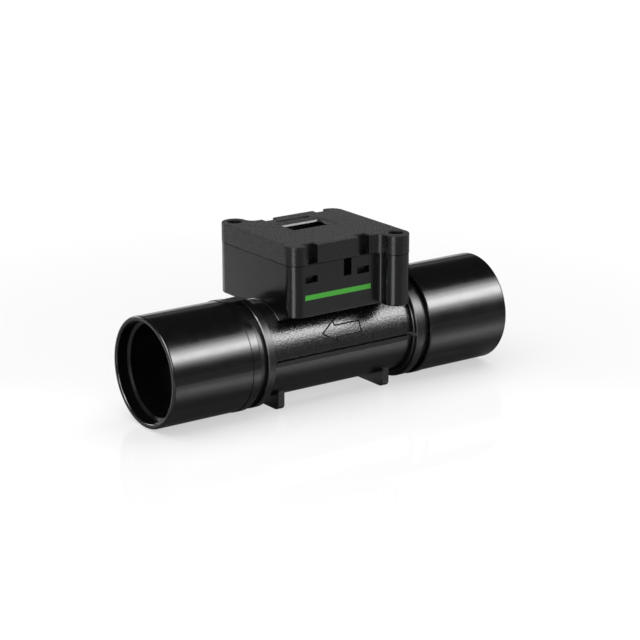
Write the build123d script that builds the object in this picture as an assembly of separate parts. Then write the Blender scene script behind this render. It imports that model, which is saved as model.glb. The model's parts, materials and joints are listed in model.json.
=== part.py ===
from build123d import *
import os
from math import cos, hypot, radians, sin, sqrt

# Mass flow meter: a flow tube with push-on end sleeves and a clipped sensor housing on its crown.
# Lengths are in millimetres. The tube axis runs along X at height floor_height, and the feet
# stand on Z = 0. Gas enters at the +X end and leaves at the -X end, as the arrow shows.

# Flow tube, with reaches measured from mid-length
overall_length = 80.7
tube_radius = 9.5
tube_wall = 1.5
tube_reach = 16.6
neck_depth = 0.3
neck_width = 0.25
shoulder_radius = 10.25
shoulder_chamfer = 0.15
flange_reach = 17.1
flange_radius = 11.0
flange_width = 1.7
flange_chamfer = 0.15
seam_width = 0.22
seam_depth = 0.2
seam_land_width = 1.05
seam_land_rise = 0.03
gusset_width = 0.7
gusset_rise = 0.1
gusset_length = 0.5
gusset_drop = 0.2

# Spigots that carry the end sleeves, each with a groove for its seal ring
spigot_radius = 10.15
spigot_length = 6.8
seal_groove_offset = 3.6
seal_groove_width = 1.5
seal_groove_depth = 0.95
seal_side_gap = 0.12
seal_round = 0.35

# End sleeves, straight pegs for 22 mm breathing-circuit hose
sleeve_gap = 1.7
sleeve_radius = 11.0
collar_radius = 11.12
collar_length = 1.9
mouth_recess_radius = 9.95
mouth_recess_depth = 2.4
recess_chamfer = 0.35
sleeve_bore_radius = 9.3
rim_round = 0.4
collar_round = 0.25
socket_gap = 0.05
key_width = 2.6
key_depth = 1.1
key_rise = 0.1
key_gap = 0.1

# Flow screens, their spacers and the laminar element in the bore
seat_gap = 0.03
screen_thickness = 0.6
screen_pitch = 1.55
screen_hole = 1.15
spacer_width = 1.2
spacer_wall = 1.5
element_length = 12.0
element_gap = 0.05
element_rim = 0.6
cell_pitch = 2.1
cell_web = 0.3
bore_ledge = 0.35

# Sensor housing, with heights measured from the tube axis
housing_shift = -0.3
housing_length = 25.92
housing_depth = 22.08
housing_height = 10.49
housing_wall = 1.5
corner_radius = 2.5
saddle_sink = 1.15
saddle_drop = 0.95
saddle_width = 15.6
saddle_chamfer = 0.8
saddle_land = 0.4
saddle_land_rise = 0.6
saddle_land_round = 0.25
floor_over_tube = 1.1
board_ledge = 1.15
parting_chamfer = 0.15
bottom_round = 0.3
front_slot_width = 1.84
front_slot_depth = 3.5

# Screw bosses at two opposite corners
boss_radius = 2.56
boss_reach = 1.75
screw_hole_radius = 1.6
body_web_fillet = 0.7
lid_web_fillet = 1.8

# Lid, its snap hooks and the socket window
lid_height = 3.92
lid_overhang = 0.06
lid_wall = 1.45
lid_plate = 1.5
lid_edge_round = 0.22
hook_places = (-8.6, 3.75)
notch_width = 2.8
hook_width = 2.4
hook_thickness = 1.1
hook_gap = 0.1
hook_relief_gap = 0.25
window_width = 2.9
window_height = 1.4
window_drop = 3.65
barb_reach = 0.55
barb_clearance = 0.12
opening_length = 9.5
opening_width = 5.1
opening_lip = 0.6
opening_draft = 22
opening_margin = 0.8
panel_margin = 0.8
panel_drop = 0.06
socket_centre_y = 2.82
grip_length = 8.0
grip_width = 1.3
grip_depth = 0.45
grip_y = 7.7
grip_shift = 0.3
clamp_post_radius = 0.8

# Feet under the tube
foot_spread = 25.6
foot_width = 12.62
foot_thickness = 1.45
foot_round = 1.1

# Flow direction arrow, a line engraved round the tube's front
arrow_angle = 22.7
arrow_tip = -4.92
arrow_length = 9.55
arrow_head_length = 3.55
arrow_head_width = 4.85
arrow_shaft_width = 2.6
arrow_line = 0.3
arrow_depth = 0.2

# Bypass ports and the sensing stack
port_radius = 0.6
gasket_thickness = 0.6
gasket_width = 6.8
gasket_margin = 1.6
gasket_hole_radius = 0.8
carrier_height = 2.3
carrier_margin = 1.4
carrier_end_gap = 0.71
carrier_width = 6.4
channel_width = 1.6
channel_depth = 1.2
chip_length = 3.4
chip_width = 2.2
chip_height = 0.5
chip_gap = 0.15

# Circuit board and what is soldered on it
board_thickness = 1.0
board_gap = 0.15
board_corner = 1.0
peg_radius = 0.9
peg_gap = 0.08
peg_inset = 2.2
peg_rise = 0.5
socket_length = 7.9
socket_width = 3.05
socket_shell_wall = 0.7
socket_floor = 1.0
socket_drop = 2.2
pin_count = 4
pin_pitch = 2.0
pin_size = 0.5
pin_length = 4.6
processor_size = (4.0, 4.0, 0.9)
processor_place = (-6.2, -3.6)
regulator_size = (2.9, 1.6, 1.1)
regulator_place = (6.6, -4.4)
memory_size = (3.0, 4.4, 1.0)
memory_place = (1.0, -4.4)
capacitor_size = (1.6, 0.8, 0.8)
capacitor_from_peg = 1.86
capacitor_from_wall = 2.44
capacitor_count = 4
capacitor_pitch = 2.4
resistor_size = (1.0, 0.5, 0.35)
resistor_from_wall = 2.26
resistor_start = 0.6
resistor_count = 5
resistor_pitch = 1.1

# Sizes that follow from the ones above
floor_height = collar_radius
bore_radius = tube_radius - tube_wall
flange_outer = flange_reach + flange_width
spigot_end = flange_outer + spigot_length
groove_middle = flange_outer + seal_groove_offset
groove_radius = spigot_radius - seal_groove_depth
sleeve_start = flange_outer + sleeve_gap
mouth_end = overall_length / 2
socket_radius = spigot_radius + socket_gap
screen_start = spigot_end + seat_gap
spacer_start = screen_start + screen_thickness + seat_gap
shoulder_reach = spacer_start + spacer_width + seat_gap
half_length = housing_length / 2
half_depth = housing_depth / 2
housing_bottom = tube_radius - saddle_sink
parting_height = housing_bottom + housing_height
lid_top = parting_height + lid_height
lid_underside = lid_top - lid_plate
floor_top = tube_radius + floor_over_tube
gasket_bottom = floor_top + seat_gap
carrier_bottom = gasket_bottom + gasket_thickness + seat_gap
board_bottom = carrier_bottom + carrier_height + seat_gap
board_top = board_bottom + board_thickness
inner_length = housing_length - 2 * housing_wall
inner_depth = housing_depth - 2 * housing_wall
inner_corner = corner_radius - housing_wall
boss_x = half_length - boss_radius
boss_y = half_depth + boss_reach
window_bottom = parting_height - window_drop
peg_x = inner_length / 2 - peg_inset
peg_y = inner_depth / 2 - peg_inset
port_spacing = inner_length - 2 * (board_ledge + carrier_end_gap + carrier_margin)
hook_outer = inner_depth / 2 - hook_gap
hook_inner = hook_outer - hook_thickness
capacitor_row = (capacitor_from_peg - peg_x, inner_depth / 2 - capacitor_from_wall)
resistor_row = (resistor_from_wall - inner_length / 2, resistor_start)

# The two frames that the pieces are placed in
on_floor = Pos(0, 0, floor_height)
at_housing = Pos(housing_shift, 0, 0)


def turned(points):
    """A ring turned about the tube axis from (x, radius) points."""
    return revolve(make_face(Polyline(*points, close=True)), Axis.X)


def block(x_range, y_range, z_range):
    """A box between three pairs of limits."""
    size = [high - low for low, high in (x_range, y_range, z_range)]
    middle = [(high + low) / 2 for low, high in (x_range, y_range, z_range)]
    return Pos(*middle) * Box(*size)


def post(x, y, radius, bottom, top):
    """A vertical round post or hole."""
    return Pos(x, y, (bottom + top) / 2) * Cylinder(radius, top - bottom)


def far_end(part):
    """The same part at the other end of the tube."""
    return Rot(0, 0, 180) * part


def rounded_block(length, depth, corner, bottom, top):
    """An upright block with rounded corners, centred on the housing."""
    return Pos(0, 0, bottom) * extrude(RectangleRounded(length, depth, corner), top - bottom)


def housing_plan(grow, web_fillet):
    """Outline of the housing from above: a rounded rectangle with a screw boss at two corners."""
    plan = RectangleRounded(housing_length + 2 * grow, housing_depth + 2 * grow, corner_radius + grow)
    radius = boss_radius + grow
    overlap = corner_radius + 1
    for side in (1, -1):
        web_centre = (boss_x + radius / 2, boss_y - (boss_reach + overlap) / 2)
        plan += Pos(side * boss_x, -side * boss_y) * Circle(radius)
        plan += Pos(side * web_centre[0], -side * web_centre[1]) * Rectangle(radius, boss_reach + overlap)
    for side in (1, -1):
        chord = sqrt(radius**2 - (boss_reach - grow) ** 2)
        corner = Vector(side * (boss_x - chord), -side * (half_depth + grow), 0)
        vertex = plan.vertices().sort_by_distance(corner)[0]
        plan = fillet(vertex, web_fillet)
    return plan


def boss_holes(bottom, top):
    """The through holes of the two screw bosses."""
    holes = [post(side * boss_x, -side * boss_y, screw_hole_radius, bottom, top) for side in (1, -1)]
    return holes[0] + holes[1]


def hook_sites():
    """Each snap hook as (place along the wall, side), the rear wall being the front one turned round."""
    return [(-side * place, side) for place in hook_places for side in (-1, 1)]


# Flow body: tube, flanges, spigots, feet and the open-topped housing in one moulding
def tube_profile():
    """Outline of the turned part of the flow body, from the outside back through the bore."""
    half = [
        (tube_reach, tube_radius),
        (tube_reach, tube_radius - neck_depth),
        (tube_reach + neck_width, tube_radius - neck_depth),
        (tube_reach + neck_width, shoulder_radius - shoulder_chamfer),
        (tube_reach + neck_width + shoulder_chamfer, shoulder_radius),
        (flange_reach, shoulder_radius),
        (flange_reach, flange_radius - flange_chamfer),
        (flange_reach + flange_chamfer, flange_radius),
        (flange_outer - flange_chamfer, flange_radius),
        (flange_outer, flange_radius - flange_chamfer),
        (flange_outer, spigot_radius),
        (groove_middle - seal_groove_width / 2, spigot_radius),
        (groove_middle - seal_groove_width / 2, groove_radius),
        (groove_middle + seal_groove_width / 2, groove_radius),
        (groove_middle + seal_groove_width / 2, spigot_radius),
        (spigot_end, spigot_radius),
    ]
    ledge = -element_length / 2 - seat_gap
    outside = [(-x, r) for x, r in reversed(half)] + half
    inside = [
        (spigot_end, bore_radius),
        (ledge, bore_radius),
        (ledge, bore_radius - bore_ledge),
        (-spigot_end, bore_radius - bore_ledge),
    ]
    return outside + inside


def foot(x):
    """A cross plate under the tube with rounded lower corners."""
    plate = Rectangle(foot_width, floor_height)
    plate = fillet(plate.vertices().group_by(Axis.Y)[0], foot_round)
    plate = extrude(Plane.YZ * (Pos(0, -floor_height / 2) * plate), foot_thickness / 2, both=True)
    return Pos(x, 0, 0) * plate - Rot(0, 90, 0) * Cylinder(tube_radius - tube_wall / 2, overall_length)


def arrow_groove():
    """Groove of the flow arrow: its flat outline cut to an even depth round the tube."""
    tail = arrow_length - arrow_head_length
    head, shaft = arrow_head_width / 2, arrow_shaft_width / 2
    upper = [(arrow_head_length, head), (arrow_head_length, shaft), (arrow_head_length + tail, shaft)]
    lower = [(x, -y) for x, y in reversed(upper)]
    outline = make_face(Polyline((0, 0), *upper, *lower, close=True))
    line = outline - offset(outline, -arrow_line)
    radial = Plane(origin=(arrow_tip, 0, 0), x_dir=(1, 0, 0),
                   z_dir=(0, -cos(radians(arrow_angle)), sin(radians(arrow_angle))))
    skin = Cylinder(tube_radius + 1, 2 * arrow_length) - Cylinder(tube_radius - arrow_depth, 2 * arrow_length)
    return extrude(radial * line, tube_radius + 1) & Rot(0, 90, 0) * skin


def seam_land(side):
    """Narrow flat along the tube's side under its mould seam."""
    return block((-tube_reach, tube_reach),
                 sorted((side * (tube_radius - tube_wall / 2), side * (tube_radius + seam_land_rise))),
                 (-seam_land_width, 0))


def seam_gusset(side):
    """Small web that bridges the neck between the tube's side and the flange."""
    inside = tube_radius - tube_wall / 2
    plan = Polyline((tube_reach - gusset_length, inside), (tube_reach - gusset_length, tube_radius),
                    (flange_reach, flange_radius - gusset_rise), (flange_reach + flange_width / 2, inside),
                    close=True)
    web = extrude(make_face(plan), gusset_width)
    return Rot(0 if side > 0 else 180, 0, 0) * Pos(0, 0, -gusset_width / 2 + side * gusset_drop) * web


def seam_groove(side):
    """Fine groove along the mould seam on the tube's side."""
    return block((-tube_reach, tube_reach),
                 sorted((side * (tube_radius - seam_depth), side * (tube_radius + 1))),
                 (-seam_width / 2, seam_width / 2))


def key():
    """Key on the crown of a spigot that stops an end sleeve turning."""
    end = sleeve_start + key_depth - key_gap
    return block((flange_outer - flange_width / 2, end), (-key_width / 2, key_width / 2),
                 (spigot_radius - seal_groove_depth / 2, flange_radius + key_rise))


def housing_shell():
    """Walls, bosses, saddle and floor of the housing before it is hollowed."""
    shell = extrude(housing_plan(0, body_web_fillet), housing_height)
    shell = fillet(shell.faces().sort_by(Axis.Z)[0].edges(), bottom_round)
    shell = chamfer(shell.faces().sort_by(Axis.Z)[-1].edges(), parting_chamfer)
    shell = Pos(0, 0, housing_bottom) * shell
    saddle = block((-half_length, half_length), (-saddle_width / 2, saddle_width / 2),
                   (housing_bottom - saddle_drop, housing_bottom + housing_wall))
    lower = saddle.edges().filter_by(Axis.X).group_by(Axis.Z)[0]
    saddle = chamfer(lower, saddle_chamfer)
    land = Cylinder(tube_radius + saddle_land_rise, housing_length + 2 * saddle_land)
    land = Rot(0, 90, 0) * fillet(land.edges().filter_by(GeomType.CIRCLE), saddle_land_round)
    land &= block((-housing_length, housing_length), (-saddle_width / 2, saddle_width / 2),
                  (housing_bottom - saddle_drop, floor_top))
    return shell + saddle + land


def housing_cuts():
    """The cavity, the snap windows, the slots and the bypass ports."""
    ledge_height = board_bottom - seat_gap
    cuts = rounded_block(inner_length, inner_depth, inner_corner, ledge_height, lid_top)
    cuts += rounded_block(inner_length - 2 * board_ledge, inner_depth - 2 * board_ledge,
                          inner_corner, floor_top, lid_top)
    for place, side in hook_sites():
        cuts += block((place - window_width / 2, place + window_width / 2),
                      sorted((side * inner_depth / 3, side * housing_depth)),
                      (window_bottom, window_bottom + window_height))
    cuts += block((-front_slot_width / 2, front_slot_width / 2), (-housing_depth, housing_depth),
                  (parting_height - front_slot_depth, lid_top))
    return cuts + boss_holes(0, lid_top)


def flow_body():
    body = turned(tube_profile())
    for side in (1, -1):
        body += seam_land(side) + seam_gusset(side) + far_end(seam_gusset(side))
        body += foot(side * foot_spread / 2)
    body += key() + far_end(key())
    bore = Rot(0, 90, 0) * Cylinder(tube_radius - tube_wall / 2, overall_length)
    housing = at_housing * (housing_shell() - housing_cuts()) - bore
    for side in (1, -1):
        housing += at_housing * post(side * peg_x, side * peg_y, peg_radius,
                                     floor_top - floor_over_tube / 2, board_top + peg_rise)
    body += housing
    for side in (1, -1):
        body -= at_housing * post(side * port_spacing / 2, 0, port_radius, 0, floor_top + floor_over_tube)
        body -= seam_groove(side)
    return body - arrow_groove()


# End sleeves and what they hold
def end_sleeve():
    """One end sleeve: a socket over the spigot, a straight bore and a recessed mouth."""
    sleeve = turned([
        (sleeve_start, socket_radius),
        (sleeve_start, collar_radius),
        (sleeve_start + collar_length, collar_radius),
        (sleeve_start + collar_length, sleeve_radius),
        (mouth_end, sleeve_radius),
        (mouth_end, mouth_recess_radius),
        (mouth_end - mouth_recess_depth, mouth_recess_radius),
        (mouth_end - mouth_recess_depth - recess_chamfer, sleeve_bore_radius),
        (shoulder_reach, sleeve_bore_radius),
        (shoulder_reach, socket_radius),
    ])
    circles = sleeve.edges().filter_by(GeomType.CIRCLE)
    sleeve = fillet(circles.group_by(Axis.X)[-1], rim_round)
    collar_edge = sleeve.edges().filter_by(GeomType.CIRCLE).group_by(Axis.X)[0].sort_by(SortBy.RADIUS)[-1]
    sleeve = fillet(collar_edge, collar_round)
    half_key = key_width / 2 + key_gap
    return sleeve - block((0, sleeve_start + key_depth), (-half_key, half_key), (0, collar_radius + key_rise))


def seal_ring():
    """Rubber ring squeezed flat between the groove floor and the socket."""
    inside, outside = groove_radius + seat_gap, socket_radius - seat_gap
    section = RectangleRounded(seal_groove_width - 2 * seal_side_gap, outside - inside, seal_round)
    return revolve(Pos(groove_middle, (inside + outside) / 2) * section, Axis.X)


def flow_screen():
    """Flow screen: a moulded disc with a square mesh inside its rim."""
    mesh_radius = bore_radius
    reach = int(mesh_radius / screen_pitch) + 1
    holes = []
    for row in range(-reach, reach + 1):
        for column in range(-reach, reach + 1):
            y, z = (column * screen_pitch, row * screen_pitch)
            if hypot(abs(y) + screen_hole / 2, abs(z) + screen_hole / 2) < mesh_radius:
                holes.append(Pos(y, z) * Rectangle(screen_hole, screen_hole))
    disc = Circle(socket_radius - seat_gap) - holes
    return extrude(Plane.YZ.offset(screen_start) * disc, screen_thickness)


def screen_spacer():
    """Ring that holds the screen against the end of the spigot."""
    outside = socket_radius - seat_gap
    return turned([
        (spacer_start, outside - spacer_wall),
        (spacer_start, outside),
        (spacer_start + spacer_width, outside),
        (spacer_start + spacer_width, outside - spacer_wall),
    ])


def laminar_element():
    """Honeycomb plug that makes the pressure drop between the two bypass ports."""
    outside = bore_radius - element_gap
    cell_radius = (cell_pitch - cell_web) / sqrt(3)
    reach = int(2 * outside / cell_pitch) + 1
    cells = []
    for row in range(-reach, reach + 1):
        for column in range(-reach, reach + 1):
            y = (column + (row % 2) / 2) * cell_pitch
            z = row * cell_pitch * sqrt(3) / 2
            if hypot(y, z) + cell_radius < outside - element_rim:
                cells.append(Pos(y, z) * RegularPolygon(cell_radius, 6, rotation=30))
    section = Circle(outside) - cells
    return extrude(Plane.YZ.offset(-element_length / 2) * section, element_length)


# Lid with its snap hooks
def snap_hook(place, side):
    """A leg inside the housing wall whose barb stands in the wall's window."""
    inner, outer = hook_inner, hook_outer
    bottom = window_bottom - barb_clearance
    barb_top = window_bottom + window_height - barb_clearance
    barb_foot = window_bottom + barb_clearance
    side_view = Polyline(
        (inner, lid_underside + lid_plate / 2), (inner, bottom), (outer, bottom), (outer, barb_foot),
        (outer + barb_reach, (barb_foot + barb_top) / 2), (outer + barb_reach, barb_top),
        (outer, barb_top), (outer, lid_underside + lid_plate / 2), close=True)
    leg = extrude(Plane.YZ * make_face(side_view), hook_width / 2, both=True)
    turn = 0 if side > 0 else 180
    return Pos(place, 0, 0) * Rot(0, 0, turn) * leg


def socket_opening():
    """Window over the socket: drafted walls in a thin lip, inside a shallow panel."""
    middle = Pos(0, socket_centre_y, 0)
    half_x, half_y = opening_length / 2, opening_width / 2
    lip_bottom = lid_top - opening_lip
    window = extrude(Pos(0, 0, lid_top) * Rectangle(opening_length, opening_width), -opening_lip,
                     taper=opening_draft)
    pocket = block((-half_x - opening_margin, half_x + opening_margin),
                   (-half_y - opening_margin, half_y + opening_margin), (parting_height, lip_bottom))
    panel = block((-half_x - panel_margin, half_x + panel_margin),
                  (-half_y - panel_margin, half_y + panel_margin), (lid_top - panel_drop, lid_top + 1))
    return middle * (window + pocket + panel)


def housing_lid():
    lid = extrude(housing_plan(lid_overhang, lid_web_fillet), lid_height)
    lid = fillet(lid.faces().sort_by(Axis.Z)[-1].edges(), lid_edge_round)
    lid = Pos(0, 0, parting_height) * lid
    lid -= rounded_block(housing_length - 2 * lid_wall, housing_depth - 2 * lid_wall,
                         corner_radius - lid_wall, parting_height - 1, lid_underside)
    lid -= boss_holes(parting_height - 1, lid_top + 1)
    lid -= socket_opening()
    lid -= block((grip_shift - grip_length / 2, grip_shift + grip_length / 2),
                 (grip_y - grip_width / 2, grip_y + grip_width / 2), (lid_top - grip_depth, lid_top + 1))
    for place, side in hook_sites():
        lid -= block((place - notch_width / 2, place + notch_width / 2),
                     sorted((side * hook_outer, side * housing_depth)),
                     (parting_height - 1, lid_top + 1))
        lid += snap_hook(place, side)
    for side in (1, -1):
        lid += post(side * peg_x, -side * peg_y, clamp_post_radius, board_top + seat_gap,
                    lid_underside + lid_plate / 2)
    return at_housing * lid


# Sensing stack and electronics inside the housing
def port_gasket():
    """Rubber plate with a hole over each bypass port."""
    half = port_spacing / 2
    plate = block((-half - gasket_margin, half + gasket_margin), (-gasket_width / 2, gasket_width / 2),
                  (gasket_bottom, gasket_bottom + gasket_thickness))
    for side in (1, -1):
        plate -= post(side * half, 0, gasket_hole_radius, floor_top - 1, carrier_bottom + 1)
    return at_housing * plate


def channel_carrier():
    """Block with the bypass channel in its top face, fed by a bore at each end."""
    half = port_spacing / 2
    top = carrier_bottom + carrier_height
    carrier = block((-half - carrier_margin, half + carrier_margin), (-carrier_width / 2, carrier_width / 2),
                    (carrier_bottom, top))
    carrier -= block((-half, half), (-channel_width / 2, channel_width / 2), (top - channel_depth, top + 1))
    pocket = (chip_length / 2 + chip_gap, chip_width / 2 + chip_gap)
    carrier -= block((-pocket[0], pocket[0]), (-pocket[1], pocket[1]),
                     (top - chip_height - chip_gap, top + 1))
    for side in (1, -1):
        carrier -= post(side * half, 0, port_radius, carrier_bottom - 1, top + 1)
    return at_housing * carrier


def sensor_chip():
    """Flow sensing die under the board, in the channel's pocket."""
    return at_housing * block((-chip_length / 2, chip_length / 2), (-chip_width / 2, chip_width / 2),
                              (board_bottom - chip_height - seat_gap, board_bottom - seat_gap))


def circuit_board():
    """Board on the housing's ledge, located by two pegs and cut back behind the snap hooks."""
    board = rounded_block(inner_length - 2 * board_gap, inner_depth - 2 * board_gap,
                          board_corner, board_bottom, board_top)
    for side in (1, -1):
        board -= post(side * peg_x, side * peg_y, peg_radius + peg_gap, board_bottom - 1, board_top + 1)
    half_relief = hook_width / 2 + hook_relief_gap
    for place, side in hook_sites():
        board -= block((place - half_relief, place + half_relief),
                       sorted((side * (hook_inner - hook_relief_gap), side * housing_depth)),
                       (board_bottom - 1, board_top + 1))
    return at_housing * board


def pin_places():
    """Places of the contact pins along the socket."""
    return [(index - (pin_count - 1) / 2) * pin_pitch for index in range(pin_count)]


def socket_shell():
    """Top-entry socket that stands on the board under the lid's window."""
    bottom = board_top + seat_gap
    top = lid_top - socket_drop
    wall = socket_shell_wall
    half_x, half_y = socket_length / 2, socket_width / 2
    y = socket_centre_y
    shell = block((-half_x - wall, half_x + wall), (y - half_y - wall, y + half_y + wall), (bottom, top))
    shell -= block((-half_x, half_x), (y - half_y, y + half_y), (bottom + socket_floor, top + 1))
    half_hole = pin_size / 2 + seat_gap
    for place in pin_places():
        shell -= block((place - half_hole, place + half_hole), (y - half_hole, y + half_hole),
                       (bottom - 1, top))
    return at_housing * shell


def socket_pins():
    """Contact pins, which stand on the board and pass through the socket's floor."""
    bottom = board_top + seat_gap
    half = pin_size / 2
    pins = []
    for place in pin_places():
        pin = block((place - half, place + half), (socket_centre_y - half, socket_centre_y + half),
                    (bottom, bottom + pin_length))
        pins.append(at_housing * chamfer(pin.faces().sort_by(Axis.Z)[-1].edges(), pin_size / 4))
    return Part() + pins


def on_board(size, place):
    """A component package standing on the board."""
    length, depth, height = size
    x, y = place
    bottom = board_top + seat_gap
    return at_housing * block((x - length / 2, x + length / 2), (y - depth / 2, y + depth / 2),
                              (bottom, bottom + height))


def row_on_board(size, start, count, pitch, direction):
    """A row of like components as separate solids."""
    places = [(start[0] + index * pitch * direction[0], start[1] + index * pitch * direction[1])
              for index in range(count)]
    return Part() + [on_board(size, place) for place in places]


pieces = {
    "flow_body": flow_body(),
    "housing_lid": housing_lid(),
    "inlet_sleeve": end_sleeve(),
    "outlet_sleeve": far_end(end_sleeve()),
    "inlet_seal_ring": seal_ring(),
    "outlet_seal_ring": far_end(seal_ring()),
    "inlet_screen": flow_screen(),
    "outlet_screen": far_end(flow_screen()),
    "inlet_screen_spacer": screen_spacer(),
    "outlet_screen_spacer": far_end(screen_spacer()),
    "laminar_element": laminar_element(),
    "port_gasket": port_gasket(),
    "channel_carrier": channel_carrier(),
    "sensor_chip": sensor_chip(),
    "circuit_board": circuit_board(),
    "socket_shell": socket_shell(),
    "socket_pins": socket_pins(),
    "signal_processor": on_board(processor_size, processor_place),
    "voltage_regulator": on_board(regulator_size, regulator_place),
    "memory_chip": on_board(memory_size, memory_place),
    "ceramic_capacitors": row_on_board(capacitor_size, capacitor_row, capacitor_count,
                                       capacitor_pitch, (1, 0)),
    "chip_resistors": row_on_board(resistor_size, resistor_row, resistor_count, resistor_pitch, (0, 1)),
}

os.makedirs("parts", exist_ok=True)
for name, piece in pieces.items():
    export_step(on_floor * piece, f"parts/{name}.step")
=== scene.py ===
import json
from math import cos, pi, radians, sin

import bmesh
import bpy
from mathutils import Matrix, Vector


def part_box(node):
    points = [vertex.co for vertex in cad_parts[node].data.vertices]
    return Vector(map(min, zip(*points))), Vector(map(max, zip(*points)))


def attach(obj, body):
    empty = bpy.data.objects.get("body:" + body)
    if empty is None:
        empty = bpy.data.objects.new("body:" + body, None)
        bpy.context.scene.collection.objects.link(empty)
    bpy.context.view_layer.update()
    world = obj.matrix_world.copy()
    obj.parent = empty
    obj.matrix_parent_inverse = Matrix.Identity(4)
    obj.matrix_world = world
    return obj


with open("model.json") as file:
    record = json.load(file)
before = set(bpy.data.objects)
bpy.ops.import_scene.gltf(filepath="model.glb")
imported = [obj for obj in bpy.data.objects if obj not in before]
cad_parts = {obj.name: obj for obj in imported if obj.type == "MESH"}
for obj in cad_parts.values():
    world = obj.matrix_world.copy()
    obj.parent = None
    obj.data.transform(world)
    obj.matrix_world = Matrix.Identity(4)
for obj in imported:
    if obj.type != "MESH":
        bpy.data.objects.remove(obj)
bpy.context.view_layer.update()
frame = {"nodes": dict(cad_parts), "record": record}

MM = 0.001
nodes = frame["nodes"]
mounts = {mount["name"]: mount for mount in frame["record"]["mounts"]}

# Heights and places that come from the frame
axis_height = mounts["inlet_sleeve"]["pos_m"][2]
housing_middle = mounts["screw_holes"]["pos_m"][0]
lid_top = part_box("housing_lid")[1][2]
body_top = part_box("flow_body")[1][2]
housing_front = -11.04 * MM

# The lid's rounded upper rim, the depth under the body's top where its hooks' barbs start, its hooks
# (place along the wall and side) and the gussets beside their legs, in mm: distance from the hook's
# middle and height from the lid's top, and depth of the gusset
rim_round = 0.24 * MM
barb_depth = 1.5 * MM
hook_sites = ((8.6, 1), (-8.6, -1), (-3.75, 1), (3.75, -1))
gusset_profile = ((1.1, -3.75), (1.1, -1.4), (1.8, -1.4), (1.8, -3.2))
gusset_y = (8.9, 9.65)

# Zones of the flow body, from the tube's axis and from the middle of its length
housing_start = 8.4 * MM
flange_start = 17.0 * MM
ring_radius = 9.58 * MM
groove_radii = (9.2 * MM, 9.43 * MM)
seam_rise = (-0.14 * MM, 0.27 * MM)
seam_tilt = -0.75
tie_reach = (15.8 * MM, 17.05 * MM)
tie_rise = (-0.6 * MM, 0.6 * MM)

# Printed stripe on the housing's front, from the tube's axis
stripe_x = (-10.35 * MM, 5.3 * MM)
stripe_z = (11.8 * MM, 12.8 * MM)
stripe_green = (0.085, 0.56, 0.05, 1)

# Half-widths of the zones' edges
hairline = 0.01 * MM
sharp = 0.02 * MM
soft = 0.05 * MM
gentle = 0.1 * MM

# Black plastics: darkest and lightest grey, roughness (smoothest and roughest, or one value), and size
# and depth of the grain
sleeve_black = (0.0025, 0.0035)
lid_black = (0.0042, 0.0058)
body_black = (0.0034, 0.0046)
sleeve_roughness = (0.15, 0.22)
lid_roughness = (0.23, 0.29)
upper_tube_roughness = (0.22, 0.32)
lower_tube_roughness = (0.24, 0.26)
rim_roughness = 0.85
barb_roughness = 0.6
ring_roughness = 0.33
housing_roughness = 0.21
groove_roughness = 0.9
seam_roughness = 0.25
tie_roughness = 0.75
flow_mark_size = 3 * MM
sleeve_grain = (0.6 * MM, 0.002 * MM)
lid_grain_size = 0.3 * MM
lid_side_depth = 0.006 * MM
lid_top_depth = 0.009 * MM
coarse_grain = (0.32 * MM, 0.027 * MM)
fine_grain = (0.28 * MM, 0.006 * MM)

# Share of the coarse grain on the tube's lower half, and of the fine grain on both halves
coarse_below = 0.02
fine_below = 0.05
fine_above = 0.5

# Other finishes: nodes, colour, roughness, size and depth of the grain in mm, and metallic share
packages = ("signal_processor", "voltage_regulator", "memory_chip")
finishes = {
    "seal_rubber": (("inlet_seal_ring", "outlet_seal_ring", "port_gasket"), 0.014, 0.55, 0.3, 0.004, 0.0),
    "screen_plastic": (("inlet_screen", "outlet_screen"), 0.02, 0.45, 0.25, 0.004, 0.0),
    "spacer_plastic": (("inlet_screen_spacer", "outlet_screen_spacer"), 0.02, 0.4, 0.3, 0.004, 0.0),
    "element_plastic": (("laminar_element",), 0.7, 0.4, 0.4, 0.004, 0.0),
    "carrier_plastic": (("channel_carrier",), 0.035, 0.45, 0.25, 0.005, 0.0),
    "chip_silicon": (("sensor_chip",), (0.13, 0.13, 0.16), 0.15, 0.5, 0.0005, 0.7),
    "board_laminate": (("circuit_board",), (0.015, 0.11, 0.04), 0.3, 0.22, 0.006, 0.0),
    "package_plastic": (packages, 0.018, 0.55, 0.08, 0.004, 0.0),
    "capacitor_ceramic": (("ceramic_capacitors",), (0.42, 0.29, 0.17), 0.4, 0.12, 0.003, 0.0),
    "resistor_ceramic": (("chip_resistors",), 0.025, 0.35, 0.1, 0.002, 0.0),
    "socket_plastic": (("socket_shell",), 0.02, 0.42, 0.15, 0.006, 0.0),
    "pin_metal": (("socket_pins",), (0.78, 0.6, 0.28), 0.25, 0.1, 0.001, 1.0),
}

# Share by which colour and roughness vary in these
mottle = 0.15
gloss_spread = 0.08

# Camera, fitted to the photograph's outlines
camera_azimuth = -35.62
camera_elevation = 16.56
camera_distance = 465.9 * MM
camera_target = Vector((1.0 * MM, 0, axis_height + 3.37 * MM))
camera_lens = 131.2
camera_near = 0.01

# The white table: where it ends in front and elsewhere, its white, and its glow near the object and
# far from it, first as the camera sees them and then as gloss does. The glow is weaker near the object:
# painted shade on the table around and under it
table_front = -0.16
table_reach = 3.0
table_roughness = 0.035
table_ior = 1.5
table_white = 0.42
table_glow = (0.55, 0.76)
glow_reach = (0.05, 0.25)
white_in_gloss = 0.17
glow_in_gloss = (0.04, 0.21)
gloss_reach = (0.03, 0.11)

# The room that gloss sees: a white wall behind, a pale card above it and a dark ceiling, by elevation,
# and a dimmer front, by the direction's Y
wall_top = 6.5
wall_fade = 5.0
wall_haze = 0.02
card_low = 17.5
card_high = 24.0
card_fade = 1.5
card_white = 0.38
room_turn = (-0.15, 0.25)
room_front = 0.2
room_ceiling = 0.03

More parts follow.
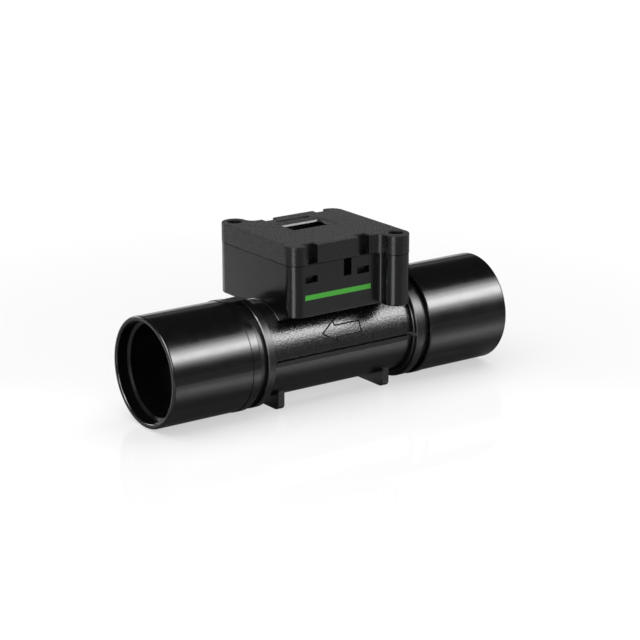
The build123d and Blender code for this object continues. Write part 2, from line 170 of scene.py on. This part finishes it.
# The key softbox in level bands: elevation of the middle, height and radiance
key_bands = ((14, 6, 0.9), (20, 6, 4.5), (24.8, 3.6, 12.5), (31.3, 9.4, 18), (39.2, 6.5, 10), (45.5, 6, 3.2))
key_azimuth = 42
key_distance = 0.6
key_width = 0.42

# The other lamps: azimuth, elevation, distance, size and radiance, and whether gloss shows them
lamps = {
    "side": (-58, 17, 0.7, (0.32, 0.22), 13, True),
    "left": (-75, 38, 0.6, (0.36, 0.30), 16, True),
    "back_left": (-162, 16, 0.6, (0.28, 0.12), 7.0, True),
    "fill": (-20, 35, 0.9, (0.8, 0.5), 2.0, False),
    "overhead": (0, 89.9, 0.8, (2.4, 1.0), 2.15, False),
}


def link(item):
    bpy.context.scene.collection.objects.link(item)
    return item


def direction(azimuth, elevation):
    """Unit vector from the object; azimuth 0 is the front (-Y) and 90 is +X, in degrees."""
    a, e = radians(azimuth), radians(elevation)
    return Vector((sin(a) * cos(e), -cos(a) * cos(e), sin(e)))


def facing(place, target):
    """Rotation that turns an object's -Z at place towards target, with its X level."""
    back = (place - target).normalized()
    right = Vector((0, 0, 1)).cross(back).normalized()
    up = back.cross(right)
    return Matrix((right, up, back)).transposed().to_4x4()


def add_camera():
    data = bpy.data.cameras.new("camera")
    data.lens = camera_lens
    data.clip_start = camera_near
    camera = link(bpy.data.objects.new("camera", data))
    place = camera_target + direction(camera_azimuth, camera_elevation) * camera_distance
    camera.matrix_world = Matrix.Translation(place) @ facing(place, camera_target)
    bpy.context.scene.camera = camera


def add_softbox(name, azimuth, elevation, distance, size, radiance, seen=True):
    """A rectangular lamp aimed at the object, either seen in gloss or lighting what is matt."""
    data = bpy.data.lights.new(name, "AREA")
    data.shape = "RECTANGLE"
    data.size, data.size_y = size
    data.energy = radiance * pi * size[0] * size[1]
    lamp = link(bpy.data.objects.new(name, data))
    target = Vector((0, 0, axis_height))
    place = target + direction(azimuth, elevation) * distance
    lamp.matrix_world = Matrix.Translation(place) @ facing(place, target)
    lamp.visible_glossy = seen
    lamp.visible_diffuse = not seen
    lamp.visible_camera = False


def add_lamps():
    for number, (elevation, height, radiance) in enumerate(key_bands):
        size = (key_width, radians(height) * key_distance)
        add_softbox(f"key_{number}", key_azimuth, elevation, key_distance, size, radiance)
    for name, values in lamps.items():
        add_softbox(name, *values)


class Shader:
    """A small helper that adds nodes and sets or joins their inputs."""

    def __init__(self, tree):
        self.tree = tree
        tree.nodes.clear()

    def add(self, kind, settings=(), **inputs):
        node = self.tree.nodes.new(kind)
        for key, value in dict(settings).items():
            setattr(node, key, value)
        for key, value in inputs.items():
            self.put(node, key, value)
        return node

    def put(self, node, key, value):
        """Set the input that key names, or numbers as i0, i1 and so on, or join a socket to it."""
        number = key[1:] if key[0] == "i" and key[1:].isdigit() else None
        socket = node.inputs[int(number) if number else key.replace("_", " ")]
        if isinstance(value, bpy.types.NodeSocket):
            self.tree.links.new(value, socket)
        else:
            socket.default_value = value

    def math(self, operation, *values):
        """A Math node's result."""
        inputs = {f"i{index}": value for index, value in enumerate(values)}
        return self.add("ShaderNodeMath", {"operation": operation}, **inputs).outputs[0]

    def product(self, first, *others):
        for other in others:
            first = self.math("MULTIPLY", first, other)
        return first

    def rest_of(self, value):
        """What value leaves of 1."""
        return self.math("SUBTRACT", 1.0, value)

    def ramp(self, value, low, high, start, end, smooth=True):
        """value mapped from low..high to start..end, held at the ends."""
        kind = "SMOOTHSTEP" if smooth else "LINEAR"
        return self.add("ShaderNodeMapRange", {"interpolation_type": kind}, Value=value, From_Min=low,
                        From_Max=high, To_Min=start, To_Max=end).outputs[0]

    def blend(self, factor, first, second):
        """A mix of two numbers."""
        return self.add("ShaderNodeMix", i0=factor, i2=first, i3=second).outputs[0]

    def tint(self, factor, first, second):
        """A mix of two colours."""
        return self.add("ShaderNodeMix", {"data_type": "RGBA"}, i0=factor, i6=first, i7=second).outputs[2]

    def rays(self):
        """1 on a ray that the camera sends, also through glass, and 1 on one that gloss sends."""
        path = self.add("ShaderNodeLightPath").outputs
        return self.math("MAXIMUM", path["Is Camera Ray"], path["Is Transmission Ray"]), path["Is Glossy Ray"]


class Plastic(Shader):
    def __init__(self, name):
        self.material = bpy.data.materials.new(name)
        self.material.use_nodes = True
        super().__init__(self.material.node_tree)
        self.where = self.add("ShaderNodeTexCoord").outputs["Object"]
        axes = self.add("ShaderNodeSeparateXYZ", Vector=self.where)
        self.x, self.y, self.z = axes.outputs

    def noise(self, size, detail=3.0, roughness=0.6):
        """Noise whose blobs are about size metres across."""
        return self.add("ShaderNodeTexNoise", Vector=self.where, Scale=1 / size, Detail=detail,
                        Roughness=roughness).outputs["Fac"]

    def drift(self):
        """Slow changes along the piece."""
        return self.noise(8 * MM, 2.0, 0.5)

    def spread(self, noise, ends):
        """The middle of a noise's range mapped to ends."""
        return self.ramp(noise, 0.3, 0.7, *ends, smooth=False)

    def above(self, value, edge, softness):
        """0 where value is under edge and 1 where it is over it."""
        return self.ramp(value, edge - softness, edge + softness, 0.0, 1.0)

    def below(self, value, edge, softness):
        return self.rest_of(self.above(value, edge, softness))

    def between(self, value, edges, softness):
        low, high = edges
        return self.product(self.above(value, low, softness), self.below(value, high, softness))

    def black(self, ends):
        """A grey that drifts between ends."""
        return self.tint(self.drift(), *(tinted(end) for end in ends))

    def finish(self, colour, roughness, height, **sockets):
        """Close the material; height is in metres."""
        bump = self.add("ShaderNodeBump", Strength=1.0, Distance=1.0, Height=height)
        shader = self.add("ShaderNodeBsdfPrincipled", Base_Color=colour, Roughness=roughness,
                          Normal=bump.outputs[0], **sockets)
        self.add("ShaderNodeOutputMaterial", Surface=shader.outputs[0])
        return self.material


def tinted(base, factor=1):
    """base, a grey or a colour, times factor."""
    values = (base,) * 3 if isinstance(base, (int, float)) else base
    return tuple(value * factor for value in values) + (1,)


def moulded(name, base, roughness, grain_size, grain_depth, metallic):
    """A plain finish: fine grain in the bump and small drifts of colour and gloss."""
    s = Plastic(name)
    grain = s.noise(grain_size)
    colour = s.tint(s.drift(), tinted(base, 1 - mottle), tinted(base, 1 + mottle))
    gloss = s.spread(grain, (roughness * (1 - gloss_spread), roughness * (1 + gloss_spread)))
    return s.finish(colour, gloss, s.product(grain, grain_depth), Metallic=metallic)


def sleeve_plastic():
    """The tube's sleeves: glossy, with faint flow marks."""
    s = Plastic("sleeve_plastic")
    size, depth = sleeve_grain
    marks = s.noise(flow_mark_size)
    colour = s.tint(marks, *(tinted(end) for end in sleeve_black))
    return s.finish(colour, s.spread(marks, sleeve_roughness), s.product(s.noise(size), depth))


def lid_plastic():
    """The lid: fine spark grain, deeper on top, and matt on its sharp upper rim and on the hooks' barbs."""
    s = Plastic("lid_plastic")
    grain = s.noise(lid_grain_size, 1.0, 0.5)
    rim = s.between(s.z, (lid_top - rim_round, lid_top - rim_round * 0.05), hairline)
    barb = s.below(s.z, body_top - barb_depth, gentle)
    gloss = s.blend(rim, s.spread(grain, lid_roughness), rim_roughness)
    gloss = s.blend(barb, gloss, barb_roughness)
    depth = s.blend(s.above(s.z, lid_top - soft, sharp), lid_side_depth, lid_top_depth)
    return s.finish(s.black(lid_black), gloss, s.product(grain, depth))


def body_plastic():
    """The flow body: a spark-grained upper half, smoother lower half and rings, a fine-grained housing."""
    s = Plastic("body_plastic")
    rise = s.math("SUBTRACT", s.z, axis_height)
    radius = s.math("SQRT", s.math("ADD", s.product(s.y, s.y), s.product(rise, rise)))
    along = s.math("ABSOLUTE", s.x)
    on_housing = s.above(rise, housing_start, gentle)
    upper = s.above(rise, 0.0, soft)
    ring = s.math("MAXIMUM", s.above(along, flange_start, soft), s.above(radius, ring_radius, sharp))
    on_tube = s.product(s.rest_of(on_housing), s.rest_of(ring))
    groove = s.product(s.between(radius, groove_radii, hairline), on_tube)
    seam = s.product(s.between(rise, seam_rise, hairline), on_tube)
    tie = s.product(s.between(along, tie_reach, soft), s.between(rise, tie_rise, soft))

    coarse_size, coarse_depth = coarse_grain
    fine_size, fine_depth = fine_grain
    coarse, fine = s.noise(coarse_size, 0.0, 0.5), s.noise(fine_size, 1.0, 0.5)
    coarse_share = s.product(on_tube, s.blend(upper, coarse_below, 1.0))
    fine_share = s.blend(on_housing, s.blend(upper, fine_below, fine_above), 1.0)
    height = s.math("ADD", s.product(coarse, coarse_share, coarse_depth),
                    s.product(fine, fine_share, fine_depth))
    height = s.math("SUBTRACT", height, s.product(seam, rise, seam_tilt))

    gloss = s.blend(upper, s.spread(fine, lower_tube_roughness), s.spread(coarse, upper_tube_roughness))
    zones = ((ring, ring_roughness), (on_housing, housing_roughness), (groove, groove_roughness),
             (seam, seam_roughness), (tie, tie_roughness))
    for zone, roughness in zones:
        gloss = s.blend(zone, gloss, roughness)

    front = s.below(s.y, housing_front + soft, sharp)
    stripe = s.product(s.between(s.x, stripe_x, soft), s.between(rise, stripe_z, soft), front)
    return s.finish(s.tint(stripe, s.black(body_black), stripe_green), gloss, height)


def dress(node, material):
    for slot in nodes[node].material_slots:
        slot.material = material


def add_hook_gussets(material):
    """Small tapered gussets that tie each hook's leg to the lid's wall and close the slot beside it."""
    vertices, faces = [], []
    corners = len(gusset_profile)
    for along, side in hook_sites:
        for hand in (-1, 1):
            near = [len(vertices) + index for index in range(corners)]
            far = [index + corners for index in near]
            for y in gusset_y:
                vertices += [(housing_middle + (along + hand * x) * MM, side * y * MM, lid_top + z * MM)
                             for x, z in gusset_profile]
            faces += [near[::-1], far]
            for index in range(corners):
                after = (index + 1) % corners
                faces.append((near[index], near[after], far[after], far[index]))
    mesh = bpy.data.meshes.new("hook_gussets")
    mesh.from_pydata(vertices, [], faces)
    solid = bmesh.new()
    solid.from_mesh(mesh)
    bmesh.ops.recalc_face_normals(solid, faces=solid.faces)
    solid.to_mesh(mesh)
    solid.free()
    mesh.materials.append(material)
    piece = link(bpy.data.objects.new("hook_gussets", mesh))
    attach(piece, "root")


def add_world():
    """Plain white for the camera, and for gloss the room."""
    world = bpy.data.worlds.new("studio")
    world.use_nodes = True
    bpy.context.scene.world = world
    s = Shader(world.node_tree)
    where = s.add("ShaderNodeTexCoord").outputs["Generated"]
    axes = s.add("ShaderNodeSeparateXYZ", Vector=where).outputs

    def by_height(elevation, fade, start, end):
        return s.ramp(axes["Z"], sin(radians(elevation)), sin(radians(elevation + fade)), start, end)

    behind = s.ramp(axes["Y"], *room_turn, room_front, 1.0)
    wall = by_height(wall_top, wall_fade, 1.0, wall_haze)
    under_ceiling = by_height(card_high, card_fade, 1.0, room_ceiling)
    card = s.product(by_height(card_low, card_fade, 0.0, 1.0), by_height(card_high, card_fade, 1.0, 0.0),
                     card_white)
    room = s.product(s.math("MAXIMUM", behind, s.rest_of(under_ceiling)),
                     s.math("MAXIMUM", s.product(wall, under_ceiling), card))
    room = s.math("MAXIMUM", room, room_ceiling)
    straight, _ = s.rays()
    light = s.add("ShaderNodeBackground", Color=(1, 1, 1, 1), Strength=s.blend(straight, room, 1.0))
    s.add("ShaderNodeOutputWorld", Surface=light.outputs[0])


def add_floor():
    """White acrylic: part of its white is glow, less of it in gloss, so shadows on it stay soft; the glow is
    weaker near the object, a painted shade around and under it.
    """
    mesh = bpy.data.meshes.new("floor")
    corners = ((-table_reach, table_front, 0), (table_reach, table_front, 0),
               (table_reach, table_reach, 0), (-table_reach, table_reach, 0))
    mesh.from_pydata(corners, [], [(0, 1, 2, 3)])
    floor = link(bpy.data.objects.new("floor", mesh))
    material = bpy.data.materials.new("floor")
    material.use_nodes = True
    s = Shader(material.node_tree)
    straight, glossy = s.rays()
    white = s.tint(straight, tinted(white_in_gloss), tinted(table_white))
    where = s.add("ShaderNodeTexCoord").outputs["Object"]
    away = s.add("ShaderNodeVectorMath", {"operation": "LENGTH"}, i0=where).outputs["Value"]
    # Painted shade: less glow near the object, both for the camera and in gloss
    glow = s.math("ADD", s.product(straight, s.ramp(away, *glow_reach, *table_glow)),
                  s.product(glossy, s.ramp(away, *gloss_reach, *glow_in_gloss)))
    shader = s.add("ShaderNodeBsdfPrincipled", Base_Color=white, Roughness=table_roughness, IOR=table_ior,
                   Emission_Color=(1, 1, 1, 1), Emission_Strength=glow)
    s.add("ShaderNodeOutputMaterial", Surface=shader.outputs[0])
    mesh.materials.append(material)


def main():
    bpy.context.scene.view_settings.view_transform = "Standard"
    add_camera()
    add_world()
    add_floor()
    add_lamps()
    sleeve = sleeve_plastic()
    dress("inlet_sleeve", sleeve)
    dress("outlet_sleeve", sleeve)
    lid = lid_plastic()
    dress("housing_lid", lid)
    add_hook_gussets(lid)
    dress("flow_body", body_plastic())
    for name, (places, base, roughness, grain_size, grain_depth, metallic) in finishes.items():
        material = moulded(name, base, roughness, grain_size * MM, grain_depth * MM, metallic)
        for node in places:
            dress(node, material)


main()
